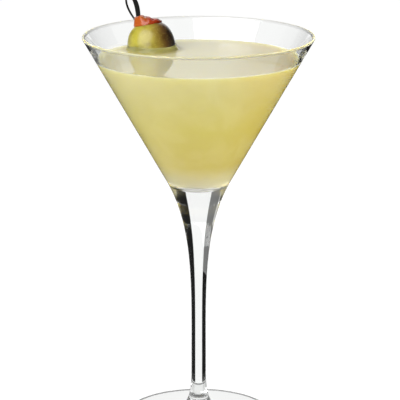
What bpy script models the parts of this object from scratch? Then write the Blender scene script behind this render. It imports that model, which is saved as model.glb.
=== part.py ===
"""A stemmed cocktail glass, filled, with a stuffed olive on a steel pick.

Metres, +Z up. The origin is on the glass's axis, at the underside of its foot.
The pick leans to -X and +Y, with the olive on it against the bowl's wall.
"""

from math import acos, copysign, cos, pi, radians, sin, sqrt, tan

import bmesh
import bpy
from mathutils import Vector

MM = 0.001
GAP = 0.3 * MM  # clear space between neighbouring pieces

# Glass
GLASS_HEIGHT = 190.0 * MM
RIM_RADIUS = 54.6 * MM
BOWL_HALF_ANGLE = radians(29.6)
WALL = 1.2 * MM
BOWL_FLOOR_RADIUS = 21.8 * MM  # the ball that rounds the bottom of the bowl's inside
FLARE_TOP = 120.0 * MM  # where the outside leaves the cone for the stem
FLARE_TOP_HANDLE = 24.0 * MM
FLARE_STEM_HANDLE = 28.0 * MM
WAIST_RADIUS = 3.5 * MM
WAIST_HEIGHT = 43.0 * MM
STEM_FOOT_RADIUS = 3.55 * MM
STEM_FOOT_HEIGHT = 26.0 * MM
FOOT_CURVE_DROP = 21.0 * MM
FOOT_CURVE_REACH = 29.0 * MM
FOOT_RADIUS = 36.0 * MM
FOOT_EDGE = 2.6 * MM
FOOT_RISE = 0.8 * MM  # how much thicker the foot is where it meets the stem

# Drink
DRINK_LEVEL = 179.0 * MM

# Olive, on end, leaning with the pick
OLIVE_CENTRE = Vector((-22.4, 24.0, 179.2)) * MM
OLIVE_RADIUS = 11.6 * MM
OLIVE_HALF_LENGTH = 13.4 * MM
OLIVE_LEAN = Vector((-0.16, 0.225, 1.0)).normalized()
OLIVE_BLUNTNESS = 2.2  # the power of its side's curve: 2 is an ellipse, more is blunter
MOUTH_RADIUS = 5.3 * MM  # of the flat cut at the olive's top
POCKET_RADIUS = 4.2 * MM
POCKET_DEPTH = 3.5 * MM
LIP = 0.4 * MM

# Pimento
DOME_RADIUS = 5.5 * MM
DOME_HEIGHT = 3.4 * MM

# Pick, which passes behind the filling
PICK_TIP = Vector((2.7, 0.2, 119.8)) * MM
PICK_THROUGH = Vector((-24.2, 26.6, 179.2)) * MM  # a point on its axis, inside the olive
PICK_RADIUS = 0.55 * MM
PICK_TIP_SHARE = 0.4
PICK_POINT = 5.0 * MM
LOOP_BASE = 83.2 * MM  # from the tip, along the pick
LOOP_LENGTH = 15.0 * MM
LOOP_HALF_WIDTH = 2.2 * MM
LOOP_BEND = radians(3.5)  # between the shank and the loop, towards +X
LOOP_THIN = 0.5 * MM
LOOP_THICK = 1.15 * MM

GLASS_SEGMENTS = 48
OLIVE_SEGMENTS = 32
OLIVE_STEPS = 14
PIMENTO_SEGMENTS = 24
LOOP_POINTS = 32


# Outlines, as (radius, height) points

def arc(centre, radius, start, end, steps):
    """Points of a round arc, from one angle to the other."""
    angles = [start + (end - start) * i / steps for i in range(steps + 1)]
    return [Vector((centre[0] + radius * cos(a), centre[1] + radius * sin(a))) for a in angles]


def bezier(start, start_handle, end_handle, end, steps):
    """Points of a cubic curve between two points with a handle each."""
    points = []
    for i in range(steps + 1):
        t = i / steps
        u = 1 - t
        points.append(
            start * u**3 + start_handle * 3 * u * u * t + end_handle * 3 * u * t * t + end * t**3
        )
    return points


def wall_radius(height, offset):
    """Distance from the axis to the surface that lies an offset outside the wall's middle."""
    below_rim = GLASS_HEIGHT - WALL / 2 - height
    return RIM_RADIUS - WALL / 2 - below_rim * tan(BOWL_HALF_ANGLE) + offset / cos(BOWL_HALF_ANGLE)


def bowl_inside(inset, steps):
    """The bowl's rounded floor, from the axis out to the cone, moved in by an inset."""
    apex = -wall_radius(0, -WALL / 2) / tan(BOWL_HALF_ANGLE)
    centre = (0.0, apex + BOWL_FLOOR_RADIUS / sin(BOWL_HALF_ANGLE))
    return arc(centre, BOWL_FLOOR_RADIUS - inset, -pi / 2, -BOWL_HALF_ANGLE, steps)


def rim_outline():
    """The rounded rim, from the inner wall over to the outer one."""
    centre = (RIM_RADIUS - WALL / 2, GLASS_HEIGHT - WALL / 2)
    return arc(centre, WALL / 2, pi - BOWL_HALF_ANGLE, -BOWL_HALF_ANGLE, 6)


def flare_outline():
    """The outside below the cone, drawn in to the stem's waist."""
    start = Vector((wall_radius(FLARE_TOP, WALL / 2), FLARE_TOP))
    end = Vector((WAIST_RADIUS, WAIST_HEIGHT))
    down_cone = Vector((-sin(BOWL_HALF_ANGLE), -cos(BOWL_HALF_ANGLE)))
    return bezier(
        start,
        start + down_cone * FLARE_TOP_HANDLE,
        end + Vector((0, FLARE_STEM_HANDLE)),
        end,
        16,
    )


def foot_outline():
    """The stem's end, the foot's top and its rounded edge, down to the underside."""
    start = Vector((STEM_FOOT_RADIUS, STEM_FOOT_HEIGHT))
    end = Vector((FOOT_RADIUS - FOOT_EDGE / 2, FOOT_EDGE))
    top = bezier(
        start,
        start - Vector((0, FOOT_CURVE_DROP)),
        end + Vector((-FOOT_CURVE_REACH, FOOT_RISE)),
        end,
        14,
    )
    edge = arc((FOOT_RADIUS - FOOT_EDGE / 2, FOOT_EDGE / 2), FOOT_EDGE / 2, pi / 2, -pi / 2, 6)
    return top + edge[1:]


def glass_outline():
    """The whole glass, from its inside's lowest point over the rim and down to the underside."""
    outside = rim_outline() + flare_outline() + foot_outline()
    return bowl_inside(0, 7) + outside + [Vector((0, 0))]


def drink_outline():
    """The drink, from the middle of its surface out to the wall and down."""
    edge_radius = wall_radius(DRINK_LEVEL, -WALL / 2 - GAP)
    surface = [Vector((0, DRINK_LEVEL)), Vector((edge_radius, DRINK_LEVEL))]
    return surface + bowl_inside(GAP, 7)[::-1]


def olive_side(grown, start_angle, steps):
    """The olive's side from an angle above its middle down to its lowest point, grown by a gap."""
    power = 2 / OLIVE_BLUNTNESS
    return [
        Vector((
            (OLIVE_RADIUS + grown) * abs(p.x) ** power,
            (OLIVE_HALF_LENGTH + grown) * copysign(abs(p.y) ** power, p.y),
        ))
        for p in arc((0, 0), 1.0, start_angle, -pi / 2, steps)
    ]


def mouth_angle():
    """The angle on the olive's side at which its top is cut."""
    return acos((MOUTH_RADIUS / OLIVE_RADIUS) ** (OLIVE_BLUNTNESS / 2))


def mouth_height():
    """How far above the olive's middle its top is cut."""
    return olive_side(0, mouth_angle(), 1)[0].y


def olive_outline():
    """The olive with the pocket for its filling."""
    top = mouth_height()
    floor = top - POCKET_DEPTH
    pocket = [
        Vector((0, floor)),
        Vector((POCKET_RADIUS, floor)),
        Vector((POCKET_RADIUS, top - LIP)),
        Vector((POCKET_RADIUS + LIP, top)),
    ]
    return pocket + olive_side(0, mouth_angle(), OLIVE_STEPS)


def olive_clearance_outline():
    """A whole olive, larger by the gap, that makes room in the drink."""
    return olive_side(GAP, pi / 2, OLIVE_STEPS)


def pimento_outline():
    """The filling: a dome that spreads over the mouth, and the plug below it."""
    brim = mouth_height() + GAP
    floor = mouth_height() - POCKET_DEPTH + GAP
    plug = POCKET_RADIUS - GAP
    quarter = arc((0, 0), 1.0, pi / 2, 0, 6)
    dome = [Vector((p.x * DOME_RADIUS, brim + p.y * DOME_HEIGHT)) for p in quarter]
    return dome + [Vector((plug, brim)), Vector((plug, floor)), Vector((0, floor))]


# Building blocks

def clear_scene():
    """Remove every object of the scene that the file opens with."""
    for obj in list(bpy.data.objects):
        bpy.data.objects.remove(obj, do_unlink=True)


def new_collection(name):
    """A collection in the scene."""
    collection = bpy.data.collections.new(name)
    bpy.context.scene.collection.children.link(collection)
    return collection


def linear(hex_colour):
    """Linear colour of an sRGB hex string."""
    parts = [int(hex_colour[i : i + 2], 16) / 255 for i in (1, 3, 5)]
    return [c / 12.92 if c <= 0.04045 else ((c + 0.055) / 1.055) ** 2.4 for c in parts] + [1.0]


def new_material(name, hex_colour, roughness, metallic=0.0, transmission=0.0):
    """A Principled material."""
    material = bpy.data.materials.new(name)
    material.use_nodes = True
    shader = material.node_tree.nodes["Principled BSDF"]
    shader.inputs["Base Color"].default_value = linear(hex_colour)
    shader.inputs["Roughness"].default_value = roughness
    shader.inputs["Metallic"].default_value = metallic
    shader.inputs["Transmission Weight"].default_value = transmission
    material.diffuse_color = linear(hex_colour)
    return material


def turned(name, outline, segments, collection):
    """A solid turned about the Z axis from an outline of (radius, height) points."""
    mesh = bpy.data.meshes.new(name)
    edges = [(i, i + 1) for i in range(len(outline) - 1)]
    mesh.from_pydata([(p.x, 0, p.y) for p in outline], edges, [])
    obj = bpy.data.objects.new(name, mesh)
    collection.objects.link(obj)
    screw = obj.modifiers.new("Turn", "SCREW")
    screw.axis = "Z"
    screw.steps = segments
    screw.render_steps = segments
    screw.use_merge_vertices = True
    screw.merge_threshold = 1e-6
    screw.use_smooth_shade = True
    return obj


def wire(name, points, radii, cyclic, collection):
    """A round wire through points, with a radius at each, as a closed mesh."""
    curve = bpy.data.curves.new(name, "CURVE")
    curve.dimensions = "3D"
    curve.bevel_depth = 1.0
    curve.bevel_resolution = 3
    curve.use_fill_caps = not cyclic
    curve.twist_mode = "MINIMUM"
    spline = curve.splines.new("POLY")
    spline.points.add(len(points) - 1)
    for spline_point, point, radius in zip(spline.points, points, radii):
        spline_point.co = (*point, 1.0)
        spline_point.radius = radius
    spline.use_cyclic_u = cyclic
    guide = bpy.data.objects.new(name + "_curve", curve)
    collection.objects.link(guide)
    graph = bpy.context.evaluated_depsgraph_get()
    mesh = bpy.data.meshes.new_from_object(guide.evaluated_get(graph))
    bpy.data.objects.remove(guide)
    work = bmesh.new()
    work.from_mesh(mesh)
    bmesh.ops.remove_doubles(work, verts=work.verts, dist=1e-6)
    bmesh.ops.recalc_face_normals(work, faces=work.faces)
    work.to_mesh(mesh)
    work.free()
    mesh.shade_smooth()
    obj = bpy.data.objects.new(name, mesh)
    collection.objects.link(obj)
    return obj


def as_cutter(obj):
    """Mark an object as a tool of a Boolean."""
    obj.hide_render = True
    obj.display_type = "WIRE"
    return obj


def boolean(obj, tool, operation):
    """Cut an object by a tool, or join the tool to it."""
    modifier = obj.modifiers.new(operation.title() + " " + tool.name, "BOOLEAN")
    modifier.operation = operation
    modifier.object = tool
    modifier.solver = "EXACT"
    modifier.use_self = operation == "UNION"


def stand_on_axis(obj):
    """Put a piece that was turned about the olive's axis where the olive is."""
    obj.location = OLIVE_CENTRE
    obj.rotation_mode = "QUATERNION"
    obj.rotation_quaternion = Vector((0, 0, 1)).rotation_difference(OLIVE_LEAN)


# The pick's centre line

def pick_direction():
    """The pick's direction, from its tip up."""
    return (PICK_THROUGH - PICK_TIP).normalized()


def shank_points(top):
    """The shank from the tip to a distance along it, with the point's taper, as points and shares."""
    direction = pick_direction()
    marks = ((0.0, PICK_TIP_SHARE), (PICK_POINT, 1.0), (top, 1.0))
    return [PICK_TIP + direction * mark for mark, _ in marks], [share for _, share in marks]


def loop_points():
    """The pick's open teardrop loop: its centre line, and the wire's radius at each point."""
    shank = pick_direction()
    side = (Vector((1, 0, 0)) - shank * shank.x).normalized()
    along_loop = shank * cos(LOOP_BEND) + side * sin(LOOP_BEND)
    across_loop = side * cos(LOOP_BEND) - shank * sin(LOOP_BEND)
    base = PICK_TIP + shank * LOOP_BASE
    widest = 4 / (3 * sqrt(3))  # the largest value of sin(a) * sin(a / 2)
    points, radii = [], []
    for i in range(LOOP_POINTS):
        a = 2 * pi * (i + 0.5) / LOOP_POINTS
        along = LOOP_LENGTH * (1 - cos(a)) / 2
        across = LOOP_HALF_WIDTH * sin(a) * abs(sin(a / 2)) / widest
        points.append(base + along_loop * along + across_loop * across)
        swell = max(0.0, sin(a)) ** 2
        radii.append(LOOP_THIN + (LOOP_THICK - LOOP_THIN) * swell)
    return points, radii


# The pieces

def make_glass(parts):
    """Bowl, stem and foot, blown and drawn from one piece of glass."""
    glass = turned("glass", glass_outline(), GLASS_SEGMENTS, parts)
    glass.data.materials.append(new_material("clear_glass", "#F4F8F6", 0.02, transmission=1.0))
    return glass


def make_drink(parts, olive_clearance, pick_clearance):
    """The drink up to its level, with room for the olive and the pick."""
    drink = turned("drink", drink_outline(), GLASS_SEGMENTS, parts)
    boolean(drink, olive_clearance, "DIFFERENCE")
    boolean(drink, pick_clearance, "DIFFERENCE")
    drink.data.materials.append(new_material("cloudy_drink", "#D6CF90", 0.05))
    return drink


def make_olive(parts, pick_clearance):
    """The olive's flesh, with its pocket and the pick's way through it."""
    olive = turned("olive", olive_outline(), OLIVE_SEGMENTS, parts)
    stand_on_axis(olive)
    boolean(olive, pick_clearance, "DIFFERENCE")
    olive.data.materials.append(new_material("olive_skin", "#B5A83C", 0.25))
    return olive


def make_pimento(parts):
    """The red filling in the olive's mouth."""
    pimento = turned("pimento", pimento_outline(), PIMENTO_SEGMENTS, parts)
    stand_on_axis(pimento)
    pimento.data.materials.append(new_material("pimento_flesh", "#C4501E", 0.3))
    return pimento


def make_pick(parts, cutters):
    """The steel pick: a pointed shank with a teardrop loop at its end."""
    centre_line, shares = shank_points(LOOP_BASE + LOOP_THIN)
    radii = [PICK_RADIUS * share for share in shares]
    pick = wire("pick", centre_line, radii, False, parts)
    loop = as_cutter(wire("pick_loop", *loop_points(), True, cutters))
    boolean(pick, loop, "UNION")
    pick.data.materials.append(new_material("polished_steel", "#8C8C8C", 0.12, metallic=1.0))
    return pick


def make_clearances(cutters):
    """The tools that keep the gap round the olive and along the pick."""
    olive_room = as_cutter(
        turned("olive_clearance", olive_clearance_outline(), OLIVE_SEGMENTS, cutters)
    )
    stand_on_axis(olive_room)
    centre_line, shares = shank_points(LOOP_BASE + LOOP_LENGTH)
    centre_line[0] -= pick_direction() * GAP
    radii = [PICK_RADIUS * share + GAP for share in shares]
    pick_room = as_cutter(wire("pick_clearance", centre_line, radii, False, cutters))
    return olive_room, pick_room


def main():
    """Build every piece."""
    clear_scene()
    parts = new_collection("martini")
    cutters = new_collection("cutters")
    cutters.hide_render = True
    olive_clearance, pick_clearance = make_clearances(cutters)
    make_glass(parts)
    make_drink(parts, olive_clearance, pick_clearance)
    make_olive(parts, pick_clearance)
    make_pimento(parts)
    make_pick(parts, cutters)


main()
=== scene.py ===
"""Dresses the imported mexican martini: its glass, drink, olive, pimento and pick, in a plain pale studio."""

import logging
import math
from dataclasses import dataclass
from enum import Enum
from typing import Callable, Iterable, Sequence, Union

import bpy
from mathutils import Matrix, Vector, noise


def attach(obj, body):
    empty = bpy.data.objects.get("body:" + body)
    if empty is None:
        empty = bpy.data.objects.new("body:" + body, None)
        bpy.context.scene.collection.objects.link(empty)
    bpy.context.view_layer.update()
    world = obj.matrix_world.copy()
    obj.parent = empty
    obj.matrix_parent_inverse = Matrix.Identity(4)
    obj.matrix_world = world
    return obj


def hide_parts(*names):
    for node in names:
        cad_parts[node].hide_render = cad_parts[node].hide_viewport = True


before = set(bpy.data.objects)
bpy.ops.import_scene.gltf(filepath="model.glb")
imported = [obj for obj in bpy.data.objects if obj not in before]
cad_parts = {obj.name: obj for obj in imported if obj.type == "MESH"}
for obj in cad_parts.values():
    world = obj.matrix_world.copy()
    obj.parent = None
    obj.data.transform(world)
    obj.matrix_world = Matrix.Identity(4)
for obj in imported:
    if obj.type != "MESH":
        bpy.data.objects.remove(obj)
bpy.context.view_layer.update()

LOG = logging.getLogger("martini")

MM = 0.001
BODY = "root"
MERGE_DISTANCE = 1e-6
OLIVE_CENTRE = Vector((-22.4, 24.0, 179.2))

Point = tuple[float, float]
Values = Union[Sequence[object], dict[object, object]]

WHITE = (1.0, 1.0, 1.0, 1.0)
EASED = {"interpolation_type": "SMOOTHSTEP"}


class Wall(Enum):
    """The bowl wall's two faces, by their share of its thickness away from its middle."""

    OUTER = 0.5
    INNER = -0.5


# ---------------------------------------------------------------- colours and nodes


def linear(colour: str) -> tuple[float, float, float, float]:
    """Turns an sRGB hex colour to linear light.

    Args:
        colour: Six hex digits after a hash, such as "#8a9b3c".

    Returns:
        Red, green, blue and an alpha of 1.
    """
    channels = []
    for start in (1, 3, 5):
        value = int(colour[start:start + 2], 16) / 255
        channels.append(value / 12.92 if value <= 0.04045 else ((value + 0.055) / 1.055) ** 2.4)
    return (*channels, 1.0)


def in_metres(reach: Point) -> Point:
    """Turns a pair of millimetres to metres."""
    return reach[0] * MM, reach[1] * MM


def add_node(tree: bpy.types.NodeTree, kind: str, inputs: Values = (), **settings: object) -> bpy.types.Node:
    """Adds a shader node, gives it its settings, and fills or links its inputs.

    Args:
        tree: The node tree that takes the node.
        kind: The node's type name, without the ShaderNode before it.
        inputs: Values for its first inputs in order, or for its inputs by name or number. A node as a value
            is linked by its first output in use, and a socket as it is.
        settings: Properties of the node itself.

    Returns:
        The new node.
    """
    node = tree.nodes.new("ShaderNode" + kind)
    for name, value in settings.items():
        setattr(node, name, value)
    for name, value in inputs.items() if isinstance(inputs, dict) else enumerate(inputs):
        if isinstance(value, bpy.types.Node):
            value = next(socket for socket in value.outputs if socket.enabled)
        if isinstance(value, bpy.types.NodeSocket):
            tree.links.new(value, node.inputs[name])
        else:
            node.inputs[name].default_value = value
    return node


def grade(
    tree: bpy.types.NodeTree,
    value: object,
    reach: Point,
    stops: Sequence[tuple[float, str]],
) -> bpy.types.Node:
    """Grades colours along a value.

    Args:
        tree: The node tree that takes the nodes.
        value: What the colours follow.
        reach: The value at the first and at the last colour's end.
        stops: Places in the reach, from 0 to 1, each with its sRGB hex colour.

    Returns:
        The node of the graded colour.
    """
    ramp = add_node(tree, "ValToRGB", (add_node(tree, "MapRange", (value, *reach)),))
    elements = ramp.color_ramp.elements
    while len(elements) < len(stops):
        elements.new(1.0)
    for element, (place, colour) in zip(elements, stops):
        element.position = place
        element.color = linear(colour)
    return ramp


def lay_over(
    tree: bpy.types.NodeTree,
    under: object,
    over: str,
    value: object,
    reach: Point,
    shares: Point,
    blend: str = "MIX",
) -> bpy.types.Node:
    """Lays a colour over another, by a share that follows a value.

    Args:
        tree: The node tree that takes the nodes.
        under: The node of the colour below, or a linear colour.
        over: The colour above, as sRGB hex.
        value: What the share follows.
        reach: The values between which the share eases from one end to the other.
        shares: How much of the upper colour shows at both ends of the reach.
        blend: The blend mode.

    Returns:
        The node of the mixed colour.
    """
    share = add_node(tree, "MapRange", (value, *reach, *shares), **EASED)
    colours = {0: share, 6: under, 7: linear(over)}
    return add_node(tree, "Mix", colours, data_type="RGBA", blend_type=blend)


@dataclass(frozen=True)
class Finish:
    """What a surface is made of."""

    name: str

    def uniform(self) -> dict[str, object]:
        """The values that are the same all over; each finish has its own."""
        raise NotImplementedError

    def pattern(self, tree: bpy.types.NodeTree) -> dict[str, object]:
        """The nodes that vary over the surface, by the shader's sockets; none for a plain finish."""
        return {}

    def material(self) -> bpy.types.Material:
        """Makes the finish's material.

        Returns:
            The material, with one Principled shader.
        """
        material = bpy.data.materials.new(self.name)
        material.use_nodes = True
        tree = material.node_tree
        tree.nodes.clear()
        shader = add_node(tree, "BsdfPrincipled", {**self.uniform(), **self.pattern(tree)})
        add_node(tree, "OutputMaterial", (shader,))
        return material


@dataclass(frozen=True)
class ClearGlass(Finish):
    """Soda-lime glass, blown and drawn: clear, and seen only by what it bends and mirrors."""

    name: str = "clear_drawn_glass"
    clear: str = "#fdfefd"
    roughness: float = 0.0
    index: float = 1.5

    def uniform(self) -> dict[str, object]:
        """Clear through and through."""
        return {
            "Base Color": linear(self.clear),
            "Roughness": self.roughness,
            "IOR": self.index,
            "Transmission Weight": 1.0,
        }


@dataclass(frozen=True)
class WetFood(Finish):
    """Food that light soaks into, some millimetres deep, and that shines because it is wet."""

    index: float = 1.4
    roughness: float = 0.3
    soak: float = 0.5
    soak_colour: tuple[float, float, float] = (1.0, 1.0, 1.0)
    soak_depth: float = 2.0
    coat: float = 0.0
    coat_roughness: float = 0.03
    coat_index: float = 1.33

    def uniform(self) -> dict[str, object]:
        """Soft inside, glossy outside."""
        return {
            "Roughness": self.roughness,
            "IOR": self.index,
            "Subsurface Weight": self.soak,
            "Subsurface Radius": self.soak_colour,
            "Subsurface Scale": self.soak_depth * MM,
            "Coat Weight": self.coat,
            "Coat Roughness": self.coat_roughness,
            "Coat IOR": self.coat_index,
        }


@dataclass(frozen=True)
class CloudyDrink(WetFood):
    """Lime juice, tequila and olive brine, shaken: a milky liquid that light soaks through."""

    name: str = "cloudy_lime_drink"
    index: float = 1.33
    roughness: float = 0.03
    soak: float = 1.0
    soak_colour: tuple[float, float, float] = (1.0, 0.9, 0.55)
    soak_depth: float = 8.0
    top: str = "#c2ba82"
    middle: str = "#bdb162"
    low: str = "#b9aa60"
    bottom: str = "#c1bb9e"
    # The near-black band just above the drink's bottom is painted shade: the dark arc where the drink meets
    # the glass's floor.
    deepest: str = "#2a2819"
    deepest_reach: Point = (119.3, 121.0)
    deepest_share: float = 0.9
    body_reach: Point = (115.0, 180.0)
    # Paler towards -X is painted light from the key's side, and darker gold towards +X is painted shade.
    pale_reach: Point = (-50.0, 5.0)
    golden_reach: Point = (5.0, 35.0)
    side_share: float = 0.35
    pale_side: str = "#d2cda0"
    golden_side: str = "#c2a63c"
    haze: str = "#e2dcae"
    haze_size: float = 14.0
    haze_reach: Point = (0.35, 0.75)
    haze_share: float = 0.12
    # The olive-coloured ring round the olive is a painted reflection and shadow: the olive mirrored in the
    # drink and its submerged part seen through it.
    olive_tint: str = "#b8a545"
    olive_centre: Vector = OLIVE_CENTRE
    olive_shape: Vector = Vector((1.0, 1.0, 0.87))
    tint_reach: Point = (11.3, 16.5)
    tint_share: float = 0.9

    def pattern(self, tree: bpy.types.NodeTree) -> dict[str, object]:
        """A body graded by height, with painted light on its left, painted shade on its right, a painted dark
        band of shade at its bottom, pale swirls, and a painted image of the olive round it.
        """
        place = add_node(tree, "TexCoord").outputs["Object"]
        across, _, height = add_node(tree, "SeparateXYZ", (place,)).outputs
        cloud = {"Vector": place, "Scale": 1 / (self.haze_size * MM), "Detail": 3.0, "Distortion": 0.6}
        clouds = add_node(tree, "TexNoise", cloud)
        from_olive = add_node(tree, "VectorMath", (place, self.olive_centre * MM), operation="SUBTRACT")
        rounded = add_node(tree, "VectorMath", (from_olive, self.olive_shape), operation="MULTIPLY")
        distance = add_node(tree, "VectorMath", (rounded,), operation="LENGTH")
        stops = ((0.07, self.bottom), (0.25, self.low), (0.55, self.middle), (0.97, self.top))
        colour = grade(tree, height, in_metres(self.body_reach), stops)
        for over, value, reach, shares in (
            (self.pale_side, across, in_metres(self.pale_reach), (self.side_share, 0.0)),
            (self.golden_side, across, in_metres(self.golden_reach), (0.0, self.side_share)),
            (self.haze, clouds, self.haze_reach, (0.0, self.haze_share)),
            (self.deepest, height, in_metres(self.deepest_reach), (self.deepest_share, 0.0)),
            (self.olive_tint, distance, in_metres(self.tint_reach), (self.tint_share, 0.0)),
        ):
            colour = lay_over(tree, colour, over, value, reach, shares)
        return {"Base Color": colour}


@dataclass(frozen=True)
class OliveSkin(WetFood):
    """A cured green olive: tight, waxy skin wet with brine, mottled and finely pored."""

    name: str = "cured_olive_skin"
    index: float = 1.42
    soak: float = 0.35
    soak_colour: tuple[float, float, float] = (1.0, 0.8, 0.25)
    coat: float = 0.5
    coat_roughness: float = 0.12
    green: str = "#b4ab3e"
    gold: str = "#ad9f3f"
    # Tan, brown and the near-black colour after them, towards +X, are painted shade: the olive's side away
    # from the key, darkened in its colour.
    tan: str = "#987f36"
    brown: str = "#6e5029"
    blush: str = "#3f2a1c"
    deep: str = "#93862c"
    blush_side: Vector = Vector((1.0, 0.0, 0.35))
    blush_start: float = 40.3
    blush_reach: float = 11.6
    pore: str = "#cfc46c"
    mottle_size: float = 4.5
    mottle_reach: Point = (0.4, 0.75)
    mottle_share: float = 0.5
    pore_size: float = 0.9
    pore_reach: Point = (0.13, 0.286)
    pore_share: float = 0.3
    dimple: float = 0.05
    dimple_strength: float = 0.25

    def pattern(self, tree: bpy.types.NodeTree) -> dict[str, object]:
        """Green running through brown to near-black on one side as painted shade, mottled, with pale pores
        and shallow dimples.
        """
        place = add_node(tree, "TexCoord").outputs["Object"]
        patches = {"Vector": place, "Scale": 1 / (self.mottle_size * MM), "Detail": 4.0, "Roughness": 0.55}
        mottle = add_node(tree, "TexNoise", patches)
        # Painted shade: the ground colour darkens from green to near-black across the olive towards +X.
        across = add_node(tree, "VectorMath", (place, self.blush_side), operation="DOT_PRODUCT")
        span = (self.blush_start - self.blush_reach, self.blush_start + self.blush_reach)
        colours = (self.green, self.gold, self.tan, self.brown, self.blush)
        ground = grade(tree, across, in_metres(span), tuple(zip((0.25, 0.6, 0.76, 0.87, 0.97), colours)))
        shares = (0.0, self.mottle_share)
        flesh = lay_over(tree, ground, self.deep, mottle, self.mottle_reach, shares, "MULTIPLY")
        pores = add_node(tree, "TexVoronoi", {"Vector": place, "Scale": 1 / (self.pore_size * MM)})
        skin = lay_over(tree, flesh, self.pore, pores, self.pore_reach, (self.pore_share, 0.0))
        dimples = {"Strength": self.dimple_strength, "Distance": self.dimple * MM, "Height": mottle}
        return {"Base Color": skin, "Normal": add_node(tree, "Bump", dimples)}


@dataclass(frozen=True)
class PimentoFlesh(WetFood):
    """Pickled red pepper: soft, wet and translucent, orange on one side, running to a darker red towards the
    other that is partly its own colour and partly painted shade, and redder in blotches.
    """

    name: str = "pickled_pimento"
    soak_colour: tuple[float, float, float] = (1.0, 0.35, 0.12)
    soak_depth: float = 1.5
    coat: float = 0.55
    coat_roughness: float = 0.1
    orange: str = "#b0561e"
    red: str = "#a43a1c"
    fold_size: float = 2.2
    # The red towards +X is partly the pepper's own colour and partly painted shade on the side away from the
    # key.
    red_reach: Point = (-28.5, -20.5)
    red_share: float = 0.75
    blend_reach: Point = (0.55, 1.1)

    def pattern(self, tree: bpy.types.NodeTree) -> dict[str, object]:
        """Orange running to a darker red towards +X, partly painted shade on the side away from the key, and
        redder in noise blotches.
        """
        place = add_node(tree, "TexCoord").outputs["Object"]
        across = add_node(tree, "SeparateXYZ", (place,)).outputs["X"]
        puckers = {"Vector": place, "Scale": 1 / (self.fold_size * MM), "Detail": 3.0}
        folds = add_node(tree, "TexNoise", puckers)
        side = add_node(tree, "MapRange", (across, *in_metres(self.red_reach), 0.0, self.red_share))
        redness = add_node(tree, "Math", (side, folds), operation="ADD")
        flesh = lay_over(tree, linear(self.orange), self.red, redness, self.blend_reach, (0.0, 1.0))
        return {"Base Color": flesh}


@dataclass(frozen=True)
class PolishedSteel(Finish):
    """Stainless steel wire, drawn, bent and buffed: a dark mirror with bright cores."""

    name: str = "polished_stainless_steel"
    colour: str = "#c9c8c4"
    # Buffing leaves marks of some hundredths of a millimetre: drawn coarser, as far as they need to show.
    buff_mark: float = 0.25
    mark_reach: Point = (0.3, 0.7)
    haze: Point = (0.05, 0.14)

    def uniform(self) -> dict[str, object]:
        """A mirror."""
        return {"Metallic": 1.0, "Base Color": linear(self.colour)}

    def pattern(self, tree: bpy.types.NodeTree) -> dict[str, object]:
        """The faintest polishing haze."""
        place = add_node(tree, "TexCoord").outputs["Object"]
        buffing = {"Vector": place, "Scale": 1 / (self.buff_mark * MM), "Detail": 2.0}
        marks = add_node(tree, "TexNoise", buffing)
        return {"Roughness": add_node(tree, "MapRange", (marks, *self.mark_reach, *self.haze), **EASED)}


@dataclass(frozen=True)
class LitAcrylic(Finish):
    """Opal acrylic with lamps behind it: an even, matt white or grey with nothing mirrored in it."""

    glow: float = 1.0
    grey: float = 0.0
    roughness: float = 1.0

    def uniform(self) -> dict[str, object]:
        """Matt, and as bright as its lamps."""
        return {
            "Base Color": (self.grey, self.grey, self.grey, 1.0),
            "Roughness": self.roughness,
            "Specular IOR Level": 0.0,
            "Emission Color": WHITE,
            "Emission Strength": self.glow,
        }


# ---------------------------------------------------------------- modelling by hand


def points_on_arc(centre: Point, radius: float, start: float, end: float, steps: int) -> list[Point]:
    """Points on an arc.

    Args:
        centre: The arc's centre.
        radius: Its radius.
        start: The angle of the first point, in radians.
        end: The angle of the last point.
        steps: How many chords it takes.

    Returns:
        The points, both ends included.
    """
    angles = (start + (end - start) * step / steps for step in range(steps + 1))
    return [(centre[0] + radius * math.cos(a), centre[1] + radius * math.sin(a)) for a in angles]


def points_on_bezier(a: Point, b: Point, c: Point, d: Point, steps: int) -> list[Point]:
    """Points on a cubic Bezier curve.

    Args:
        a: The start.
        b: The start's handle.
        c: The end's handle.
        d: The end.
        steps: How many chords it takes.

    Returns:
        The points, both ends included.
    """
    points = []
    for step in range(steps + 1):
        t = step / steps
        weights = ((1 - t) ** 3, 3 * t * (1 - t) ** 2, 3 * t * t * (1 - t), t ** 3)
        points.append(tuple(sum(w * p[axis] for w, p in zip(weights, (a, b, c, d))) for axis in (0, 1)))
    return points


def points_between(start: Point, end: Point, shares: Iterable[float]) -> list[Point]:
    """Points on a straight line.

    Args:
        start: Where the line starts.
        end: Where it ends.
        shares: How far along each point is, from 0 to 1.

    Returns:
        The points.
    """
    return [(start[0] + (end[0] - start[0]) * s, start[1] + (end[1] - start[1]) * s) for s in shares]


def without_repeats(points: Iterable[Point]) -> list[Point]:
    """Drops each point that repeats the one before it.

    Args:
        points: The points, in order.

    Returns:
        The points that differ from their neighbours.
    """
    kept: list[Point] = []
    for point in points:
        if not kept or math.dist(point, kept[-1]) > MERGE_DISTANCE:
            kept.append(point)
    return kept


def take(piece: bpy.types.Object) -> None:
    """Makes a piece the only selected and the active one.

    Args:
        piece: The piece to work on.
    """
    bpy.ops.object.select_all(action="DESELECT")
    piece.select_set(True)
    bpy.context.view_layer.objects.active = piece


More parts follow.
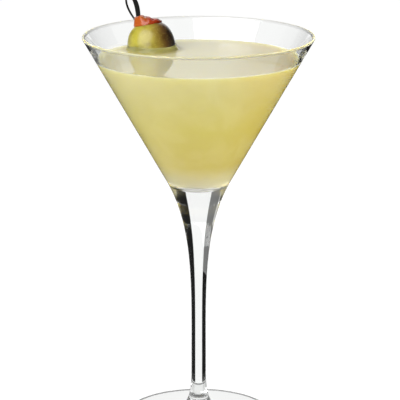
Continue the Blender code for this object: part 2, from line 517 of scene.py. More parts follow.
def start_vertex(name: str, place: Vector) -> bpy.types.Object:
    """Adds a small plane at the origin, merges it to one vertex and moves that to its place, in edit mode.

    Args:
        name: The piece's name.
        place: Where the vertex goes, in millimetres.

    Returns:
        The piece, in edit mode with its vertex selected.
    """
    bpy.ops.object.select_all(action="DESELECT")
    bpy.ops.mesh.primitive_plane_add(size=MM, location=(0, 0, 0))
    piece = bpy.context.active_object
    piece.name = piece.data.name = name
    bpy.ops.object.mode_set(mode="EDIT")
    bpy.ops.mesh.select_mode(type="VERT")
    bpy.ops.mesh.select_all(action="SELECT")
    bpy.ops.mesh.merge(type="CENTER")
    bpy.ops.transform.translate(value=tuple(place * MM))
    return piece


def draw_line(name: str, path: Sequence[Vector]) -> bpy.types.Object:
    """Draws a line by extruding a vertex from point to point.

    Args:
        name: The piece's name.
        path: The points, in millimetres.

    Returns:
        The piece, in edit mode.
    """
    piece = start_vertex(name, path[0])
    for here, there in zip(path, path[1:]):
        bpy.ops.mesh.extrude_vertices_move(TRANSFORM_OT_translate={"value": tuple((there - here) * MM)})
    return piece


def clean_up() -> None:
    """Merges the doubles of the mesh in edit mode, and turns its faces outwards."""
    bpy.ops.mesh.select_all(action="SELECT")
    bpy.ops.mesh.remove_doubles(threshold=MERGE_DISTANCE)
    bpy.ops.mesh.dissolve_degenerate(threshold=MERGE_DISTANCE)
    bpy.ops.mesh.normals_make_consistent(inside=False)
    bpy.ops.mesh.select_all(action="DESELECT")


def turn(name: str, outline: Sequence[Point], segments: int) -> bpy.types.Object:
    """Turns an outline round the Z axis.

    Args:
        name: The piece's name.
        outline: Radius and height of each point, in millimetres, from the axis back to the axis.
        segments: How many steps a full turn takes.

    Returns:
        The closed piece, in object mode.
    """
    points = [Vector((radius, 0.0, height)) for radius, height in without_repeats(outline)]
    piece = draw_line(name, points)
    bpy.ops.mesh.select_all(action="SELECT")
    bpy.ops.mesh.spin(steps=segments, angle=math.tau, center=(0, 0, 0), axis=(0, 0, 1))
    clean_up()
    bpy.ops.object.mode_set(mode="OBJECT")
    return piece


def place_mesh(piece: bpy.types.Object, matrix: Matrix) -> None:
    """Moves and turns a piece, and applies it, so that its place is in its mesh.

    Args:
        piece: The piece.
        matrix: Where it goes, in metres.
    """
    take(piece)
    piece.matrix_world = matrix
    bpy.ops.object.transform_apply(location=True, rotation=True, scale=True)


def move_vertices(piece: bpy.types.Object, shift: Callable[[Vector], Vector]) -> None:
    """Moves each vertex, as a sculpting brush does.

    Args:
        piece: The piece.
        shift: Gives a vertex's new place from its old one, both in millimetres.
    """
    for vertex in piece.data.vertices:
        vertex.co = shift(vertex.co / MM) * MM


def cut_away(piece: bpy.types.Object, cutter: bpy.types.Object) -> None:
    """Cuts a piece by another, which is then removed.

    Args:
        piece: The piece that is cut.
        cutter: The shape that is taken out of it.
    """
    take(piece)
    modifier = piece.modifiers.new("cut", "BOOLEAN")
    modifier.operation = "DIFFERENCE"
    modifier.solver = "EXACT"
    modifier.object = cutter
    bpy.ops.object.modifier_apply(modifier=modifier.name)
    bpy.data.objects.remove(cutter)


def smooth(piece: bpy.types.Object, angle: float = 40.0) -> None:
    """Shades a piece smooth, with an edge where its faces meet more sharply than the angle.

    Args:
        piece: The piece.
        angle: The angle, in degrees.
    """
    take(piece)
    bpy.ops.object.shade_smooth_by_angle(angle=math.radians(angle))


def hand_over(piece: bpy.types.Object, finish: Finish, node: str) -> None:
    """Dresses a finished piece and ties it to the part.

    Args:
        piece: The piece.
        finish: What it is made of.
        node: The CAD node it stands for.
    """
    piece.data.materials.clear()
    piece.data.materials.append(finish.material())
    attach(piece, BODY)
    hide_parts(node)
    LOG.info("%s: %d faces for node %s", piece.name, len(piece.data.polygons), node)


# ---------------------------------------------------------------- the martini


@dataclass
class MartiniGlass:
    """A conical bowl, drawn out into a stem and a foot, in one piece of glass. Sizes are in millimetres."""

    height: float = 190.0
    rim_radius: float = 54.6
    half_angle: float = math.radians(29.6)
    wall: float = 1.2
    rim_wall: float = 1.1
    rim_taper: float = 8.0
    rim_ground: float = 0.88
    floor_radius: float = 21.8
    flare_top: float = 120.0
    flare_top_handle: float = 24.0
    flare_stem_handle: float = 28.0
    waist_radius: float = 3.5
    waist_height: float = 43.0
    stem_foot_radius: float = 3.55
    stem_foot_height: float = 26.0
    foot_curve_drop: float = 21.0
    foot_curve_reach: float = 29.0
    foot_radius: float = 36.0
    foot_edge: float = 2.6
    foot_rise: float = 0.8
    floor_steps: int = 14
    rim_steps: int = 10
    flare_steps: int = 40
    foot_steps: int = 36
    segments: int = 144
    finish: ClearGlass = ClearGlass()
    # Ground fine, so that the rim catches an even, soft light and doesn't glitter.
    rim_finish: ClearGlass = ClearGlass(name="ground_glass_rim", clear="#e9e9e7", roughness=0.35)

    def wall_radius(self, height: float, offset: float) -> float:
        """Radius of the bowl's straight wall.

        Args:
            height: Height above the table.
            offset: Distance outwards from the middle of the wall.

        Returns:
            The radius at that height.
        """
        middle = self.rim_radius - self.wall / 2
        middle -= (self.height - self.wall / 2 - height) * math.tan(self.half_angle)
        return middle + offset / math.cos(self.half_angle)

    def face_radius(self, height: float, face: Wall) -> float:
        """Radius of one face of the bowl's straight wall at a height."""
        return self.wall_radius(height, face.value * self.wall)

    def bowl_floor(self, inset: float, steps: int) -> list[Point]:
        """The rounded bottom inside the bowl.

        Args:
            inset: How far inside the glass's face the line runs; below 0 it runs in the wall.
            steps: How many chords it takes.

        Returns:
            Points from the axis to where the straight wall starts.
        """
        apex = -self.face_radius(0.0, Wall.INNER) / math.tan(self.half_angle)
        centre = (0.0, apex + self.floor_radius / math.sin(self.half_angle))
        return points_on_arc(centre, self.floor_radius - inset, -math.pi / 2, -self.half_angle, steps)

    def outline(self) -> list[Point]:
        """The whole outline.

        Returns:
            Points from the bowl's floor over the rim and down to the middle of the foot.
        """
        lean = self.half_angle
        floor = self.bowl_floor(0.0, self.floor_steps)
        half_rim = self.rim_wall / 2
        rim_height = self.height - half_rim
        rim_centre = (self.face_radius(rim_height, Wall.OUTER) - half_rim / math.cos(lean), rim_height)
        rim = points_on_arc(rim_centre, half_rim, math.pi - lean, -lean, self.rim_steps)
        wall_steps = (0.015, 0.06, 0.2, 0.4, 0.6, 0.8, 0.94, 0.985)
        taper_height = self.height - self.rim_taper
        shoulder = (self.face_radius(taper_height, Wall.INNER), taper_height)
        inner = points_between(floor[-1], shoulder, (*wall_steps, 1.0))
        inner += points_between(shoulder, rim[0], (0.25, 0.5, 0.75, 0.9))
        top = (self.face_radius(self.flare_top, Wall.OUTER), self.flare_top)
        outer = points_between(rim[-1], top, wall_steps)
        waist = (self.waist_radius, self.waist_height)
        handle = self.flare_top_handle
        flare = points_on_bezier(
            top,
            (top[0] - math.sin(lean) * handle, top[1] - math.cos(lean) * handle),
            (waist[0], waist[1] + self.flare_stem_handle),
            waist,
            self.flare_steps,
        )
        edge_radius = self.foot_edge / 2
        brim = (self.foot_radius - edge_radius, self.foot_edge)
        ankle = (self.stem_foot_radius, self.stem_foot_height)
        foot = points_on_bezier(
            ankle,
            (ankle[0], ankle[1] - self.foot_curve_drop),
            (brim[0] - self.foot_curve_reach, brim[1] + self.foot_rise),
            brim,
            self.foot_steps,
        )
        edge = points_on_arc((brim[0], edge_radius), edge_radius, math.pi / 2, -math.pi / 2, self.rim_steps)
        underside = points_between(edge[-1], (0.0, 0.0), (0.02, 0.1, 0.4, 0.7, 1.0))
        return floor + inner + rim + outer + flare + foot + edge + underside

    def build(self) -> bpy.types.Object:
        """Turns the outline on the glass's axis.

        Returns:
            The finished glass.
        """
        piece = turn("martini_glass", self.outline(), self.segments)
        smooth(piece, 60.0)
        piece.visible_shadow = piece.visible_diffuse = False
        return piece

    def dress(self, piece: bpy.types.Object) -> None:
        """Gives the glass and its finely ground rim their finishes and ties it to the part."""
        hand_over(piece, self.finish, "glass")
        piece.data.materials.append(self.rim_finish.material())
        rim = (self.height - self.rim_ground) * MM
        for face in piece.data.polygons:
            face.material_index = 1 if face.center.z > rim else 0


@dataclass
class Olive:
    """A green olive that stands on end, pitted, with its mouth up. Sizes are in millimetres."""

    centre: Vector = OLIVE_CENTRE
    lean: Vector = Vector((-0.16, 0.225, 1.0)).normalized()
    radius: float = 11.6
    half_length: float = 13.4
    bluntness: float = 2.35
    mouth_radius: float = 5.3
    pocket_radius: float = 4.2
    pocket_depth: float = 3.5
    lip: float = 0.4
    unevenness: float = 0.16
    lump_size: float = 9.0
    fine_share: float = 0.35
    fine_ratio: float = 2.7
    end_share: float = 0.6
    side_steps: int = 44
    lip_steps: int = 8
    segments: int = 96
    core_steps: int = 36
    core_segments: int = 64
    finish: OliveSkin = OliveSkin()

    @property
    def mouth_angle(self) -> float:
        """The outline's own angle at the edge of the mouth."""
        return math.acos((self.mouth_radius / self.radius) ** (self.bluntness / 2))

    @property
    def mouth_height(self) -> float:
        """Height of the mouth above the olive's middle."""
        return self.half_length * math.sin(self.mouth_angle) ** (2 / self.bluntness)

    def skin_height(self, radius: float) -> float:
        """Height of the skin's upper half at a radius, and of the mouth inside it."""
        share = min(1.0, max(radius, self.mouth_radius) / self.radius)
        return self.half_length * (1 - share ** self.bluntness) ** (1 / self.bluntness)

    def side(self, swell: float, start: float, steps: int) -> list[Point]:
        """The side's outline, from the top down to the lower end.

        Args:
            swell: How far outside the skin it runs.
            start: The outline's own angle where it starts, in radians.
            steps: How many chords it takes.

        Returns:
            The points.
        """
        points = []
        for step in range(steps + 1):
            angle = start + (-math.pi / 2 - start) * step / steps
            cosine, sine = max(0.0, math.cos(angle)), math.sin(angle)
            radius = (self.radius + swell) * cosine ** (2 / self.bluntness)
            height = (self.half_length + swell) * math.copysign(abs(sine) ** (2 / self.bluntness), sine)
            points.append((radius if step < steps else 0.0, height))
        return points

    def matrix(self) -> Matrix:
        """Where the olive stands: its place and lean, in metres."""
        turned = Vector((0, 0, 1)).rotation_difference(self.lean).to_matrix().to_4x4()
        return Matrix.Translation(self.centre * MM) @ turned

    def outline(self) -> list[Point]:
        """The pocket, the rounded lip and the skin.

        Returns:
            Points from the pocket's floor to the olive's lower end.
        """
        floor = self.mouth_height - self.pocket_depth
        pocket = points_between((0.0, floor), (self.pocket_radius, floor), (0.0, 0.6, 0.95, 1.0))
        throat = (self.pocket_radius, self.mouth_height - self.lip * 2)
        wall = points_between(pocket[-1], throat, (0.05, 0.5, 1.0))
        skin = self.side(0.0, self.mouth_angle, self.side_steps)
        lip = points_on_bezier(
            throat,
            (self.pocket_radius, self.mouth_height - self.lip * 0.2),
            (self.mouth_radius - self.lip, self.mouth_height + self.lip * 0.25),
            skin[0],
            self.lip_steps,
        )
        return pocket + wall + lip + skin

    def uneven(self, point: Vector) -> Vector:
        """Swells and dents the skin a little, as on a real fruit.

        Args:
            point: A vertex, in millimetres.

        Returns:
            Its new place.
        """
        swell = noise.noise(point / self.lump_size)
        swell += self.fine_share * noise.noise(point / self.lump_size * self.fine_ratio)
        outwards = Vector((point.x, point.y, point.z * self.end_share))
        if outwards.length < self.mouth_radius:
            return point
        return point + outwards.normalized() * swell * self.unevenness

    def build(self) -> bpy.types.Object:
        """Turns the olive, makes it uneven and stands it in the glass.

        Returns:
            The finished olive.
        """
        piece = turn("green_olive", self.outline(), self.segments)
        move_vertices(piece, self.uneven)
        place_mesh(piece, self.matrix())
        smooth(piece, 50.0)
        return piece

    def core(self, swell: float) -> bpy.types.Object:
        """A closed olive shape, to cut the drink with.

        Args:
            swell: How far outside the skin it reaches.

        Returns:
            The shape, in its place.
        """
        just_off_axis = math.pi / 2 - 1e-4
        outline = self.side(swell, just_off_axis, self.core_steps)
        piece = turn("olive_core", outline, self.core_segments)
        place_mesh(piece, self.matrix())
        return piece

    def dress(self, piece: bpy.types.Object) -> None:
        """Gives the olive its finish and ties it to the part."""
        hand_over(piece, self.finish, "olive")


@dataclass
class Pimento:
    """The folded strip of red pepper that fills the olive's mouth. Sizes are in millimetres."""

    olive: Olive
    gap: float = 0.3
    dome_radius: float = 4.95
    dome_height: float = 2.8
    squareness: float = 0.6
    fold_depth: float = 0.6
    fold_size: float = 2.6
    fold_start: Vector = Vector((3.1, 0.4, 1.7))
    crease: float = 1.7
    droop_side: Vector = Vector((-0.2, -1.0, 0.0))
    droop_out: float = 2.6
    brim_share: float = 0.3
    spread: float = 0.65
    tilt: float = 0.34
    fine_share: float = 0.5
    fine_ratio: float = 2.3
    crease_share: float = 0.35
    crease_sway: float = 3.0
    sway_size: float = 4.0
    sideways: float = 0.1
    brim_fold: float = 0.25
    dome_steps: int = 26
    tuck_steps: int = 8
    segments: int = 96
    finish: PimentoFlesh = PimentoFlesh()

    def outline(self) -> list[Point]:
        """The dome over the mouth and the plug in it.

        Returns:
            Points from the top of the dome to the plug's floor.
        """
        brim = self.olive.mouth_height + self.gap
        plug = self.olive.pocket_radius - self.gap
        floor = self.olive.mouth_height - self.olive.pocket_depth + self.gap
        quarter = points_on_arc((0.0, 0.0), 1.0, math.pi / 2, 0.0, self.dome_steps)
        squared = [[max(0.0, part) ** self.squareness for part in point] for point in quarter]
        dome = [(self.dome_radius * across, brim + self.dome_height * up) for across, up in squared]
        tuck = points_on_bezier(
            dome[-1],
            (self.dome_radius, brim - self.gap * 0.6),
            (plug + self.gap, brim - self.gap * 0.4),
            (plug, brim - self.gap * 1.4),
            self.tuck_steps,
        )
        stalk = points_between(tuck[-1], (plug, floor), (0.1, 0.5, 0.96, 1.0))
        base = points_between((plug, floor), (0.0, floor), (0.04, 0.4, 1.0))
        return dome + tuck + stalk + base

    def fold(self, point: Vector) -> Vector:
        """Folds and puckers the dome, and lets its brim hang over the olive's lip on one side.

        Args:
            point: A vertex, in millimetres.

        Returns:
            Its new place.
        """
        brim = self.olive.mouth_height + self.gap
        flat = Vector((point.x, point.y, 0.0))
        edge = max(0.0, min(1.0, 1 - (1 - flat.length / self.dome_radius) / self.brim_share))
        if edge > 0.0:
            outwards = flat.normalized()
            facing = ((1 + outwards.dot(self.droop_side.normalized())) / 2) ** 2
            hang = edge * (self.spread + (1 - self.spread) * facing)
            there = flat.length + self.droop_out * hang
            down = self.olive.skin_height(flat.length) - self.olive.skin_height(there)
            point = point + outwards * self.droop_out * hang - Vector((0, 0, down))
        share = max(0.0, min(1.0, (point.z - brim) / self.dome_height))
        wave = noise.noise(point / self.fold_size + self.fold_start)
        wave += self.fine_share * noise.noise(point / self.fold_size * self.fine_ratio)
        sway = self.crease_sway * noise.noise(point / self.sway_size)
        wave += self.crease_share * math.sin(point.x * self.crease + sway)
        heave = Vector((point.x * self.sideways, point.y * self.sideways, 1.0))
        point = point + heave * wave * self.fold_depth * (self.brim_fold + share)
        return point - Vector((0, 0, self.tilt * point.x * share))

    def build(self) -> bpy.types.Object:
        """Turns the plug with its dome, folds it and stands it in the olive.

        Returns:
            The finished pimento.
        """
        piece = turn("pimento_plug", self.outline(), self.segments)
        move_vertices(piece, self.fold)
        place_mesh(piece, self.olive.matrix())
        smooth(piece, 70.0)
        return piece

    def dress(self, piece: bpy.types.Object) -> None:
        """Gives the pimento its finish and ties it to the part."""
        hand_over(piece, self.finish, "pimento")


@dataclass
class Drink:
    """What fills the glass, up to its level, climbing a little where it touches. Sizes are in millimetres."""

    glass: MartiniGlass
    olive: Olive
    level: float = 179.0
    overlap: float = 0.25
    wall_climb: float = 0.5
    wall_reach: float = 1.3
    olive_climb: float = 2.6
    olive_reach: float = 0.32
    fine_reach: float = 2.5
    fine_cuts: int = 4
    slack: float = 0.05
    wall_slack: float = 0.02
    facing_down: float = -0.2
    olive_bite: float = 0.15
    floor_steps: int = 20
    rings: int = 70
    segments: int = 256
    # The surface's finish is the drink's finish with a paler top colour: painted light, for the key falling
    # on the open surface.
    finish: CloudyDrink = CloudyDrink(top="#e2dab0")
    finish_in_glass: CloudyDrink = CloudyDrink(name="cloudy_lime_drink_in_glass", index=1.33 / 1.5)

    def outline(self) -> list[Point]:
        """The drink's outline, a hair inside the glass wall.

        Returns:
            Points from the bottom up the wall and over the surface to the axis.
        """
        offset = self.overlap - self.glass.wall / 2
        floor = self.glass.bowl_floor(-self.overlap, self.floor_steps)
        brim_height = self.level + self.wall_climb
        brim = (self.glass.wall_radius(brim_height, offset), brim_height)
        wall = points_between(floor[-1], brim, (0.02, 0.1, 0.3, 0.5, 0.7, 0.85, 0.95, 0.98, 1.0))
        reach = [self.wall_reach * share for share in (0.12, 0.3, 0.55, 0.9, 1.3, 1.9, 2.8, 4.0)]
        climb = [self.wall_climb * math.exp(-away / self.wall_reach) for away in reach]
        meniscus = [(brim[0] - away, self.level + up) for away, up in zip(reach, climb)]
        inner = meniscus[-1][0]
        surface = [(inner * (1 - step / self.rings), self.level) for step in range(1, self.rings + 1)]
        return floor + wall + meniscus + surface

    def distance_to_olive(self, point: Vector) -> float:
        """How far outside the olive's skin a point of the surface lies; below 0 inside it."""
        away = Vector((point.x - self.olive.centre.x, point.y - self.olive.centre.y, 0.0))
        lean = Vector((self.olive.lean.x, self.olive.lean.y, 0.0)).normalized()
        away -= lean * away.dot(lean) * (1 - self.olive.lean.z)
        return away.length - self.olive.radius

    def refine(self, piece: bpy.types.Object) -> None:
        """Divides the surface finely where it meets the olive.

        Args:
            piece: The drink before it is cut.
        """
        take(piece)
        bpy.ops.object.mode_set(mode="EDIT")
        bpy.ops.mesh.select_mode(type="FACE")
        bpy.ops.mesh.select_all(action="DESELECT")
        bpy.ops.object.mode_set(mode="OBJECT")
        for face in piece.data.polygons:
            centre = face.center / MM
            near = abs(self.distance_to_olive(centre)) < self.fine_reach
            face.select = near and centre.z > self.level - self.slack
        bpy.ops.object.mode_set(mode="EDIT")
        bpy.ops.mesh.subdivide(number_cuts=self.fine_cuts)
        bpy.ops.mesh.select_all(action="DESELECT")
        bpy.ops.object.mode_set(mode="OBJECT")

    def climb(self, point: Vector) -> Vector:
        """Lifts the surface where it meets the olive.

        Args:
            point: A vertex, in millimetres.

        Returns:
            Its new place.
        """
        if point.z < self.level - self.slack:
            return point
        distance = max(0.0, self.distance_to_olive(point))
        return point + Vector((0, 0, self.olive_climb * math.exp(-distance / self.olive_reach)))

    def build(self) -> bpy.types.Object:
        """Turns the drink, lifts its surface at the olive and takes the olive's room out of it.

        Returns:
            The finished drink.
        """
        piece = turn("cloudy_drink", self.outline(), self.segments)
        self.refine(piece)
        move_vertices(piece, self.climb)
        cut_away(piece, self.olive.core(-self.olive_bite))
        smooth(piece, 35.0)
        return piece

    def dress(self, piece: bpy.types.Object) -> None:
        """Gives the drink's surface and its face in the glass their finishes and ties it to the part."""
        hand_over(piece, self.finish, "drink")
        piece.data.materials.append(self.finish_in_glass.material())
        for face in piece.data.polygons:
            centre = face.center / MM
            wall = self.glass.face_radius(centre.z, Wall.INNER) - self.wall_slack
            in_glass = math.hypot(centre.x, centre.y) > wall or face.normal.z < self.facing_down
            face.material_index = 1 if in_glass else 0


@dataclass
class Pick:
    """A steel pick: a pointed shank whose wire ends in an open teardrop loop. Sizes are in millimetres."""

    tip: Vector = Vector((2.7, 0.2, 119.8))
    through: Vector = Vector((-24.2, 26.6, 179.2))
    radius: float = 0.55
    tip_share: float = 0.4
    point: float = 5.0
    loop_base: float = 83.2
    loop_length: float = 15.0
    loop_half_width: float = 2.2
    loop_bend: float = math.radians(3.5)
    thin: float = 0.5
    thick: float = 1.2
    roundness: int = 6
    shank_steps: int = 20
    loop_steps: int = 72
    finish: PolishedSteel = PolishedSteel()

    def axes(self) -> tuple[Vector, Vector]:
        """The shank's direction and the side the loop opens to.

        Returns:
            Two unit vectors.
        """
        along = (self.through - self.tip).normalized()
        side = (Vector((1, 0, 0)) - along * along.x).normalized()
        return along, side

    def wire(
        self, name: str, path: Sequence[Vector], radii: Sequence[float], closed: bool
    ) -> bpy.types.Object:
        """Draws a line and gives it a round wire's thickness.

        Args:
            name: The wire's name.
            path: The points of its middle line.
            radii: Its radius at each point.
            closed: Whether its ends meet.

        Returns:
            The wire, as a mesh.
        """
        piece = draw_line(name, path)
        if closed:
            bpy.ops.mesh.select_all(action="DESELECT")
            bpy.ops.object.mode_set(mode="OBJECT")
            piece.data.vertices[0].select = piece.data.vertices[len(path) - 1].select = True
            bpy.ops.object.mode_set(mode="EDIT")
            bpy.ops.mesh.edge_face_add()
        bpy.ops.object.mode_set(mode="OBJECT")
        take(piece)
        bpy.ops.object.convert(target="CURVE")
        piece = bpy.context.active_object
        piece.data.dimensions = "3D"
        spline = piece.data.splines[0]
        for spot in spline.points:
            nearest = min(range(len(path)), key=lambda n: (path[n] * MM - spot.co.to_3d()).length)
            spot.radius = radii[nearest]
        piece.data.bevel_depth = MM
        piece.data.bevel_resolution = self.roundness
        piece.data.use_fill_caps = not closed
        bpy.ops.object.convert(target="MESH")
        piece = bpy.context.active_object
        piece.name = piece.data.name = name
        bpy.ops.object.mode_set(mode="EDIT")
        clean_up()
        bpy.ops.object.mode_set(mode="OBJECT")
        return piece

    def shank(self) -> bpy.types.Object:
        """The pointed shank."""
        along, _ = self.axes()
        steps = [0.0, 0.4, 1.2, 2.5, self.point]
        rest = self.loop_base - self.point
        steps += [self.point + rest * n / self.shank_steps for n in range(1, self.shank_steps + 1)]
        radii = []
        for step in steps:
            share = min(1.0, step / self.point)
            radii.append(self.radius * (self.tip_share + (1 - self.tip_share) * math.sqrt(share)))
        return self.wire("pick_shank", [self.tip + along * step for step in steps], radii, closed=False)

    def loop(self) -> bpy.types.Object:
        """The open teardrop, thin on one strand and thick on the other."""
        along, side = self.axes()
        loop_along = along * math.cos(self.loop_bend) + side * math.sin(self.loop_bend)
        loop_side = side * math.cos(self.loop_bend) - along * math.sin(self.loop_bend)
        base = self.tip + along * self.loop_base
        angles = [math.tau * n / self.loop_steps for n in range(self.loop_steps)]
        spread = [math.sin(angle) * math.sin(angle / 2) for angle in angles]
        path, radii = [], []
        for angle, share in zip(angles, spread):
            forward = self.loop_length * (1 - math.cos(angle)) / 2
            across = self.loop_half_width * share / max(spread)
            path.append(base + loop_along * forward + loop_side * across)
            radii.append(self.thin + (self.thick - self.thin) * max(0.0, math.sin(angle)))
        return self.wire("pick_loop", path, radii, closed=True)

    def build(self) -> bpy.types.Object:
        """Joins the shank and its loop.

        Returns:
            The finished pick.
        """
        shank, loop = self.shank(), self.loop()
        take(shank)
        modifier = shank.modifiers.new("weld", "BOOLEAN")
        modifier.operation, modifier.solver, modifier.use_self = "UNION", "EXACT", True
        modifier.object = loop
        bpy.ops.object.modifier_apply(modifier=modifier.name)
        bpy.data.objects.remove(loop)
        shank.name = shank.data.name = "steel_pick"
        smooth(shank, 50.0)
        return shank

    def dress(self, piece: bpy.types.Object) -> None:
        """Gives the pick its finish and ties it to the part."""
        hand_over(piece, self.finish, "pick")


# ---------------------------------------------------------------- the studio


@dataclass
class Studio:
    """A lit white table and backdrop, a large softbox high on the left, fills for the drink, and dark cards.

    The cards round the stem and under the foot show only through glass. Sizes are in metres. In the world's
    light a height or a side is a part of a unit vector, and a Point holds where a change starts and ends.
    """

    camera_place: Vector = Vector((0.00065, -1.010, 0.3748))
    camera_down: float = math.radians(14.67)
    focal_length: float = 196.65
    sensor_width: float = 36.0
    clip: Point = (0.01, 100.0)
    bowl_height: float = 0.16
    floor_size: float = 12.0
    floor_grey: float = 0.12
    floor_glow: float = 0.985
    floor_roughness: float = 0.6
    key_place: Vector = Vector((-0.54, -0.645, 0.89))
    key_size: Point = (1.2, 1.2)
    key_power: float = 20.6
    fill_place: Vector = Vector((0.85, -0.45, 0.05))
    fill_size: Point = (0.6, 0.6)
    fill_power: float = 12.0
    left_fill_power: float = 2.6
    dark: float = 0.03
    soft_sky: float = 0.06
    backdrop: float = 1.05
    backdrop_half_width: float = math.radians(28)
    backdrop_soft: float = 0.02
    backdrop_foot: Point = (-0.2, -0.1)
    world_top: Point = (0.6, 0.8)
    table_line: Point = (-0.1, 0.0)
    seam: Point = (-0.02, 0.02)
    card_height: float = -0.0001
    card_hole: float = 0.0001
    card_steps: int = 64
    # Outer radius and brightness of each ring on the table under the foot, from the middle outwards.
    foot_shades: tuple[Point, ...] = ((0.0055, 0.2), (0.009, 0.36), (0.0349, 0.87), (0.042, 0.12))
    flag_distance: float = 0.25
    flag_heights: tuple[float, float, float] = (-0.092, 0.021, 0.12)
    flag_black: float = 0.012
    flag_grey: float = 0.21
    flag_pale: float = 0.75
    flag_foot: Point = (-0.17, -0.15)
    pale_sector: Point = (0.62, 0.66)
    # How far from an axis, or from an eighth turn, a flag starts, how far it sweeps, and its edge's softness.
    back_flag: tuple[float, float, float] = (math.radians(20), math.radians(50), 0.0073)
    front_flag: tuple[float, float, float] = (math.radians(13), math.radians(19), 0.01)
    mirror_depth: Point = (1.0, 3.0)
    inner_mirror: Point = (0.5, 0.8)
    bounces: int = 32
    glass_bounces: int = 24

    def add_camera(self) -> None:
        """Sets the camera at the viewing angle."""
        bpy.ops.object.camera_add(
            location=self.camera_place, rotation=(math.pi / 2 - self.camera_down, 0.0, 0.0)
        )
        camera = bpy.context.active_object
        camera.name = "camera"
        camera.data.lens = self.focal_length
        camera.data.sensor_width = self.sensor_width
        camera.data.clip_start, camera.data.clip_end = self.clip
        bpy.context.scene.camera = camera

    def add_floor(self) -> None:
        """Lays the pale floor, lit from below, large enough to reach the horizon."""
        bpy.ops.mesh.primitive_plane_add(size=self.floor_size, location=(0, 0, 2 * self.card_height))
        floor = bpy.context.active_object
        floor.name = "pale_floor"
        acrylic = LitAcrylic("white_acrylic_table", self.floor_glow, self.floor_grey, self.floor_roughness)
        floor.data.materials.append(acrylic.material())
        floor.visible_glossy = floor.visible_transmission = False

    def add_card(self, name: str, grey: float, start: float, sweep: float, line: Sequence[Point]) -> None:
        """Turns a line to a matt card that only shows where the glass bends the sight line to it.

        Args:
            name: The card's name.
            grey: How bright it is.
            start: Where it starts, in radians from +X.
            sweep: How far it goes round.
            line: Radius and height of the line's two ends, in metres.
        """
        ends = [Vector((math.cos(start) * radius, math.sin(start) * radius, up)) for radius, up in line]
        card = draw_line(name, [end / MM for end in ends])
        bpy.ops.mesh.select_all(action="SELECT")
        bpy.ops.mesh.spin(steps=self.card_steps, angle=-sweep, center=(0, 0, 0), axis=(0, 0, 1))
        bpy.ops.object.mode_set(mode="OBJECT")
        card.data.materials.append(LitAcrylic(f"{name}_card", grey).material())
        card.visible_camera = card.visible_diffuse = card.visible_glossy = card.visible_shadow = False

    def add_flags(self) -> None:
        """Shades the table under the foot, and stands black and grey flags round the stem."""
        inner = self.card_hole
        for number, (outer, grey) in enumerate(self.foot_shades):
            ends = ((inner, self.card_height), (outer, self.card_height))
            self.add_card(f"foot_shade_{number}", grey, 0.0, math.tau, ends)
            inner = outer
        low, middle, high = self.flag_heights
        lower = ((self.flag_distance, low), (self.flag_distance, middle))
        upper = ((self.flag_distance, middle), (self.flag_distance, high))
        gap, sweep, _ = self.back_flag
        for side, upper_grey in ((0, self.flag_black), (1, self.flag_grey)):
            start = side * math.pi / 2 + gap
            self.add_card(f"back_flag_{side}", self.flag_black, start, sweep, lower)
            self.add_card(f"back_flag_top_{side}", upper_grey, start, sweep, upper)
        gap, sweep, _ = self.front_flag
        for side in range(4, 8):
            start = side * math.pi / 4 + gap
            self.add_card(f"front_flag_{side}", self.flag_black, start, sweep, (lower[0], upper[1]))

    def add_softbox(self, name: str, place: Vector, size: Point, power: float) -> bpy.types.Object:
        """Hangs a soft light and aims it at the bowl.

        Args:
            name: The light's name.
            place: Where it hangs.
            size: Its width and height.
            power: Its power, in watts.

        Returns:
            The light.
        """
        bpy.ops.object.light_add(type="AREA", location=place)
        light = bpy.context.active_object
        light.name = name
        light.data.shape = "RECTANGLE"
        light.data.size, light.data.size_y = size
        light.data.energy = power
        aim = Vector((0, 0, self.bowl_height)) - place
        light.rotation_euler = aim.to_track_quat("-Z", "Y").to_euler()
        light.visible_camera = False
        return light

    def add_fill(self, drink: bpy.types.Object) -> None:
        """Adds the light that a cloudy drink carries over to its far side; it reaches nothing else.

        Args:
            drink: The only piece that it lights.
        """
        lit = bpy.data.collections.new("lit_by_fill")
        lit.objects.link(drink)
        fills = (("right_fill", 1, self.fill_power), ("left_fill", -1, self.left_fill_power))
        for name, side, power in fills:
            place = Vector((self.fill_place.x * side, self.fill_place.y, self.fill_place.z))
            fill = self.add_softbox(name, place, self.fill_size, power)
            fill.visible_glossy = fill.visible_transmission = False
            fill.light_linking.receiver_collection = lit

    def keep_dark(self, pick: bpy.types.Object) -> None:
        """Flags the key off the pick, so that polished steel mirrors the dark room.

        Args:
            pick: The pick.
        """
        flagged = bpy.data.collections.new("flagged_off_key")
        flagged.objects.link(pick)
        flagged.collection_objects[0].light_linking.link_state = "EXCLUDE"
        bpy.data.objects["key_softbox"].light_linking.receiver_collection = flagged

    def light_world(self) -> None:
        """White to look at. Gloss meets a bright panel behind in a dark room, and matt surfaces a faint sky.

        Light that has passed glass meets white with dark sectors: two large ones behind, of which the left is
        grey, and narrow black ones in front. What the glass mirrors inside and sends down is evened out.
        """
        world = bpy.data.worlds.new("studio")
        bpy.context.scene.world = world
        world.use_nodes = True
        tree = world.node_tree
        tree.nodes.clear()
        path = add_node(tree, "LightPath")
        x, y, z = add_node(tree, "SeparateXYZ", (add_node(tree, "TexCoord").outputs["Generated"],)).outputs
        azimuth = add_node(tree, "Math", (x, y), operation="ARCTAN2")
        ahead = add_node(tree, "Math", (azimuth,), operation="COSINE")

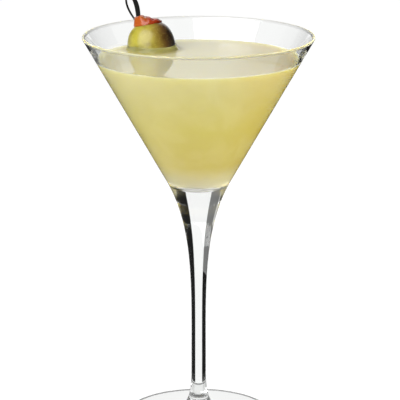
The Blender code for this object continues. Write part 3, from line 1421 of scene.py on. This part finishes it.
        edge = math.cos(self.backdrop_half_width)
        edges = (edge - self.backdrop_soft, edge + self.backdrop_soft)
        panel = add_node(tree, "MapRange", (z, *self.world_top, self.backdrop, 0.0), **EASED)
        panel = add_node(tree, "MapRange", (z, *self.backdrop_foot, 0.0, panel), **EASED)
        panel = add_node(tree, "MapRange", (ahead, *edges, 0.0, panel), **EASED)
        gloss = add_node(tree, "Math", (panel, self.dark), operation="MAXIMUM")

        window = add_node(tree, "MapRange", (z, *self.world_top, 1.0, 0.0), **EASED)
        window = add_node(tree, "MapRange", (z, *self.flag_foot, 0.0, window), **EASED)
        sectors = []
        for turn, (gap, _, soft) in ((math.pi / 8, self.front_flag), (math.pi / 4, self.back_flag)):
            folded = add_node(tree, "Math", (azimuth, turn), operation="PINGPONG")
            sectors.append(add_node(tree, "MapRange", (folded, gap - soft, gap + soft, 0.0, window), **EASED))
        flagged = add_node(tree, "MapRange", (y, *self.seam, *sectors), **EASED)
        left = add_node(tree, "MapRange", (ahead, *self.pale_sector, self.flag_pale, self.flag_grey), **EASED)
        behind = add_node(tree, "MapRange", (x, *self.seam, left, self.flag_black), **EASED)
        flag = add_node(tree, "MapRange", (y, *self.seam, self.flag_black, behind), **EASED)
        seen = add_node(tree, "MapRange", (flagged, 0.0, 1.0, 1.0, flag))

        depth = path.outputs["Glossy Depth"]
        mirrored = add_node(tree, "MapRange", (depth, *self.mirror_depth, *self.inner_mirror))
        down = add_node(tree, "MapRange", (z, *self.table_line, mirrored, seen), **EASED)
        clear = add_node(tree, "MapRange", (depth, 0.0, 1.0, seen, down))

        light = add_node(tree, "Background", (WHITE, self.soft_sky))
        rays = (("Is Glossy Ray", gloss), ("Is Transmission Ray", clear), ("Is Camera Ray", 1.0))
        for ray, strength in rays:
            other = add_node(tree, "Background", (WHITE, strength))
            light = add_node(tree, "MixShader", (path.outputs[ray], light, other))
        add_node(tree, "OutputWorld", (light,))

    def set_look(self) -> None:
        """Plain colours and clean glass."""
        scene = bpy.context.scene
        scene.view_settings.view_transform = "Standard"
        scene.view_settings.look = "None"
        scene.cycles.caustics_refractive = False
        scene.cycles.caustics_reflective = False
        scene.cycles.max_bounces = self.bounces
        scene.cycles.glossy_bounces = scene.cycles.transmission_bounces = self.glass_bounces

    def build(self) -> None:
        """Sets up the whole studio."""
        self.add_camera()
        self.add_floor()
        self.add_flags()
        self.add_softbox("key_softbox", self.key_place, self.key_size, self.key_power)
        self.light_world()
        self.set_look()


def main() -> None:
    """Builds the studio and each piece in order."""
    logging.basicConfig(level=logging.INFO, format="%(name)s: %(message)s")
    studio = Studio()
    studio.build()
    glass, olive = MartiniGlass(), Olive()
    drink, pick = Drink(glass, olive), Pick()
    for assembly in (glass, drink, olive, Pimento(olive), pick):
        piece = assembly.build()
        assembly.dress(piece)
        if assembly is drink:
            studio.add_fill(piece)
        if assembly is pick:
            studio.keep_dark(piece)


if __name__ == "__main__":
    main()
